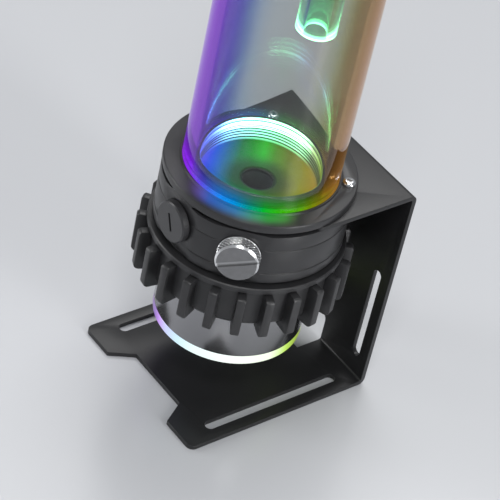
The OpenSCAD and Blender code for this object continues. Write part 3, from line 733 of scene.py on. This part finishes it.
edge = 0.3
outline = [(CAN_IN, BAND_TOP), (CAN_R - 0.15, BAND_TOP), (CAN_R, BAND_TOP + edge),
           (CAN_R, COLLAR_FOOT), (COLLAR_R - edge, COLLAR_FOOT), (COLLAR_R, COLLAR_FOOT + edge),
           (COLLAR_R, CAN_TOP - edge), (COLLAR_R - edge, CAN_TOP), (CUP_SEAT_R, CAN_TOP),
           (CUP_SEAT_R, CUP_SEAT), (CUP_HOLE_R, CUP_SEAT), (CUP_HOLE_R, CAN_ROOF),
           (CAN_IN, CAN_ROOF)]
finish_piece(turned(outline), "motor_can_turned", "base", ["motor_can"], satin_can())

corner, edge = 0.5, 0.2
outline = [(BAND_IN, CAN_FOOT)] + arc(CAN_R - corner, CAN_FOOT + corner, corner, -90, 0, 4)
outline += [(CAN_R, BAND_TOP - edge), (CAN_R - edge, BAND_TOP), (BAND_IN, BAND_TOP)]
finish_piece(turned(outline), "foot_light_band", "base", ["glow_band"],
             band_glow())

# ---------------------------------------------------------------- port plugs


def press_knurl(bm, top):
    """Two crossing spirals of grooves round a head."""
    for v in bm.verts:
        r = math.hypot(v.co.x, v.co.y)
        z = v.co.z / MM
        if r > (HEAD_R - 0.02) * MM and 0.95 < z < top - 0.95:
            turn = math.atan2(v.co.y, v.co.x) / (2 * math.pi) * KNURL_TEETH
            rise = z / KNURL_RISE
            one = abs((turn + rise) % 1.0 - 0.5) * 2
            two = abs((turn - rise) % 1.0 - 0.5) * 2
            dip = KNURL_DEEP * max(0.0, 1.0 - 1.8 * min(one, two))
            scale = (r - dip * MM) / r
            v.co.x *= scale
            v.co.y *= scale


def head(top, knurl):
    """Plug along +Z: shank, groove for the seal and chamfered head."""
    outline = [(0, -SHANK), (SHANK_R - 0.33, -SHANK), (SHANK_R, 0.4 - SHANK), (SHANK_R, SEAL_GAP),
               (SEAL_R, SEAL_GAP), (SEAL_R, 0.3)]
    if knurl:
        outline += [(HEAD_R, 0.3)]
        outline += [(HEAD_R, 0.9 + (top - 1.9) * k / 32) for k in range(33)]
        outline += [(HEAD_R, top - 0.9)]
    else:
        outline += [(HEAD_R, 0.6)]
    edge = KNURL_CHAMFER if knurl else 0.5
    outline += [(HEAD_R, top - edge), (HEAD_R - edge, top), (0, top)]
    bm = turned(outline, 384 if knurl else 96)
    if knurl:
        press_knurl(bm, top)
    return bm


def plug(name, place, node, material, top, slot_turn, slot_length, knurl=False):
    """A port plug with a coin slot and a key's hole; its body has its node's name."""
    width, depth = (2.0, 0.7) if knurl else (1.2, 0.9)
    above = 4.0
    coin = slot_blank((slot_length, width, above), (0, 0, top - depth + above / 2), slot_turn)
    bm = cut_out(head(top, knurl), merged(coin, key_blank(3.0, 8.0, -SHANK - 1.0)))
    bmesh.ops.transform(bm, matrix=place, verts=bm.verts)
    return finish_piece(bm, name, node, [node], material, 30)


knurl_frame = port_frame(-45)
fill_frame = Matrix.Translation(Vector((0, -CAP_PORT, CAP_TOP)) * MM)
nickel = bright_nickel("plug_nickel", (0, math.pi / 2, -math.pi / 4),
                       tuple(knurl_frame.translation))
plug("coin_plug_knurled", knurl_frame, "knurled_plug", nickel,
     KNURL_TOP, KNURL_TURN, 30, knurl=True)
plug_coat = plain("plug_coat", (0.026, 0.026, 0.028), (0.040, 0.040, 0.043), 0.5, 0.36)
plug("coin_plug_low", port_frame(-90), "low_plug", plug_coat,
     BLACK_TOP, LOW_TURN, COIN_SLOT)
plug("coin_plug_fill", fill_frame, "fill_plug", plug_coat,
     BLACK_TOP, 0.0, COIN_SLOT)

# ---------------------------------------------------------------- flange screws

screws = []
for azimuth in (45, 135):
    a = math.radians(azimuth)
    outline = [(0, SCREW_FOOT), (SCREW_R - 0.2, SCREW_FOOT), (SCREW_R, SCREW_FOOT + 0.3),
               (SCREW_R, DECK), (SCREW_HEAD_R, DECK), (SCREW_HEAD_R, DECK + 0.5)]
    outline += arc(1.2, DECK + 0.3, 1.4, 8, 84, 6) + [(0, DECK + SCREW_HEAD)]
    bm = cut_out(turned(outline, 48), key_blank(SCREW_KEY, 2.0, DECK + SCREW_HEAD))
    place = Vector((SCREW_RING * math.cos(a), SCREW_RING * math.sin(a), 0)) * MM
    bmesh.ops.translate(bm, vec=place, verts=bm.verts)
    screws.append(bm)
screw_nickel = plain("screw_nickel", (0.60, 0.61, 0.62), (0.76, 0.77, 0.78), 0.4, 0.2, 1.0, 0.006)
finish_piece(merged(*screws), "socket_screws", "base", ["flange_screws"],
             screw_nickel, 30)

# ---------------------------------------------------------------- nodes that keep their CAD shape

rubber = seal_rubber()
board = laminate()
inner_nickel = plain("small_nickel", (0.60, 0.61, 0.62), (0.74, 0.75, 0.76), 0.4, 0.22, 1.0,
                     0.006)
KEPT = {
    "flange_seal": rubber, "floor_seal": rubber, "cap_seal": rubber, "drop_tube_seal": rubber,
    "fill_plug_seal": rubber, "knurled_plug_seal": rubber, "low_plug_seal": rubber,
    "volute_seal": rubber, "cable_gland": rubber, "led_board": board, "circuit_board": board,
    "light_guide": guide_glow(), "cover_screws": inner_nickel,
    "led_chips": plain("chip_pale", (0.80, 0.78, 0.60), (0.90, 0.88, 0.70), 0.5, 0.4),
    "slip_ring": plain("slip_white", (0.66, 0.66, 0.63), (0.76, 0.76, 0.73), 0.8, 0.4),
    "isolation_cup": plain("drawn_steel", (0.45, 0.45, 0.46), (0.60, 0.60, 0.61), 0.7, 0.3, 1.0),
    "bearing_ball": plain("ball_ceramic", (0.80, 0.79, 0.74), (0.86, 0.85, 0.80), 0.5, 0.12,
                          0.0, 0.002),
    "impeller": plain("impeller_white", (0.72, 0.72, 0.70), (0.82, 0.82, 0.80), 0.9, 0.45),
    "rotor_magnet": plain("magnet_grey", (0.10, 0.10, 0.105), (0.16, 0.16, 0.165), 0.6, 0.5, 0.3),
    "rotor_bush": plain("bush_carbon", (0.05, 0.05, 0.055), (0.09, 0.09, 0.095), 0.3, 0.4),
    "stator_core": plain("lamination_steel", (0.24, 0.24, 0.25), (0.36, 0.36, 0.37), 0.5, 0.4,
                         0.9),
    "stator_coils": winding(),
    "board_parts": plain("part_cases", (0.015, 0.015, 0.016), (0.03, 0.03, 0.032), 0.6, 0.45),
    "can_cover": plain("cover_satin", (0.03, 0.03, 0.032), (0.05, 0.05, 0.053), 0.8, 0.45),
}
for node, material in KEPT.items():
    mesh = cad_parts[node].data
    mesh.materials.clear()
    mesh.materials.append(material)

# ---------------------------------------------------------------- floor, light, camera

floor = bpy.data.meshes.new("studio_floor")
bm = bmesh.new()
bmesh.ops.create_grid(bm, x_segments=1, y_segments=1, size=4.0)
bm.to_mesh(floor)
bm.free()
floor_ob = bpy.data.objects.new("studio_floor", floor)
bpy.context.scene.collection.objects.link(floor_ob)
pale = Finish("studio_floor", base_color=(0.54, 0.55, 0.57), roughness=0.25)
floor.materials.append(pale.material)


def soft_lamp(name, place, aim, size, power, size_y=None):
    """An area lamp at a place in metres, turned to an aim."""
    lamp = bpy.data.lights.new(name, "AREA")
    lamp.shape, lamp.size, lamp.size_y, lamp.energy = "RECTANGLE", size, size_y or size, power
    holder = bpy.data.objects.new(name, lamp)
    holder.location = place
    holder.rotation_euler = (Vector(aim) - Vector(place)).to_track_quat("-Z", "Y").to_euler()
    bpy.context.scene.collection.objects.link(holder)


soft_lamp("overhead", (-0.35, 0.45, 1.25), (0, 0, 0.08), 0.9, 10.5)
soft_lamp("front_high", (0.55, -0.55, 1.25), (0, 0, 0.06), 0.35, 6.0)
soft_lamp("left_strip", (-0.85, -0.80, 0.35), (0, 0, 0.06), 0.30, 6.0, 0.9)
soft_lamp("right_strip", (1.10, 0.15, 0.40), (0, 0, 0.07), 0.25, 7.0, 0.7)

world = bpy.data.worlds.new("studio")
bpy.context.scene.world = world
world.use_nodes = True
world.node_tree.nodes["Background"].inputs[0].default_value = (0.86, 0.88, 0.92, 1.0)
world.node_tree.nodes["Background"].inputs[1].default_value = 0.35
bpy.context.scene.view_settings.view_transform = "Standard"

# the camera looks down at the corner between the front and the right side, rolled a little
azimuth, height, roll = math.radians(45.53), math.radians(39.65), math.radians(13.16)
distance, lens = 0.86896, 161.748
back = Vector((math.sin(azimuth) * math.cos(height), -math.cos(azimuth) * math.cos(height),
               math.sin(height)))
right = Vector((math.cos(azimuth), math.sin(azimuth), 0.0))
up = back.cross(right)
right_rolled = right * math.cos(roll) + up * math.sin(roll)
up_rolled = up * math.cos(roll) - right * math.sin(roll)
aim = right_rolled * 0.00350 + up_rolled * 0.00051 + Vector((0, 0, 0.0585))
camera = bpy.data.objects.new("camera", bpy.data.cameras.new("camera"))
camera.data.sensor_width = 36.0
camera.data.lens = lens
camera.data.clip_end = 20.0
turn = Matrix((right_rolled, up_rolled, back)).transposed().to_4x4()
camera.matrix_world = Matrix.Translation(aim + back * distance) @ turn
bpy.context.scene.collection.objects.link(camera)
bpy.context.scene.camera = camera
